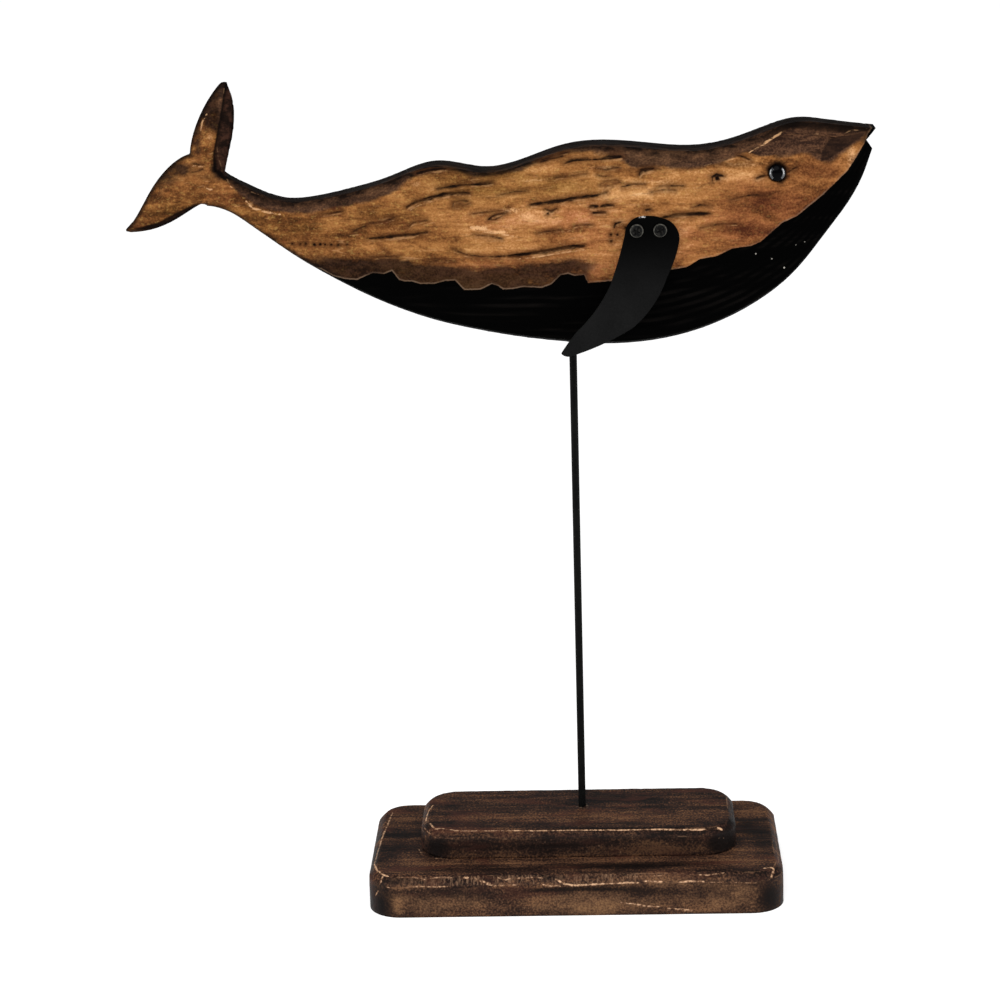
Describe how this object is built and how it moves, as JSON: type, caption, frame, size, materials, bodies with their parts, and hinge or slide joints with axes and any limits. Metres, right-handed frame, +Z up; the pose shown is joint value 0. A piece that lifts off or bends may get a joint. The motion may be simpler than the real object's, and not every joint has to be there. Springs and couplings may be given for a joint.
{
  "type": "whale figurine",
  "caption": "Carved wooden whale with bent steel flippers, turning on a slim steel rod over a stepped wooden base.",
  "frame": {"origin": "centre of the base plate's underside", "axes": "+X towards the whale's snout along the base, +Y to the whale's left side, +Z up"},
  "size_m": [0.3503, 0.1, 0.3941],
  "materials": {
    "carved_wood": "carved softwood, golden-brown stain with burnt edges, black painted belly",
    "stained_wood": "dark brown stain, rubbed through at the edges",
    "black_steel": "satin black paint",
    "black_screw": "black, rubbed at the rim",
    "screw_steel": "zinc plated",
    "eye_bead": "gloss black"
  },
  "bodies": {
    "stand": {"base_plate": "stained_wood", "base_step": "stained_wood", "rear_base_screw": "screw_steel", "front_base_screw": "screw_steel", "support_rod": "black_steel"},
    "whale": {"whale_body": "carved_wood", "left_flipper": "black_steel", "right_flipper": "black_steel", "left_flipper_rear_screw": "black_screw", "left_flipper_front_screw": "black_screw", "right_flipper_rear_screw": "black_screw", "right_flipper_front_screw": "black_screw", "left_eye": "eye_bead", "right_eye": "eye_bead"}
  },
  "joints": [
    {"name": "whale_swivel", "type": "hinge", "parent": "stand", "child": "whale", "pos_m": [0.0034, 0.0083, 0.309], "axis": [0, 0, 1], "continuous": true}
  ]
}
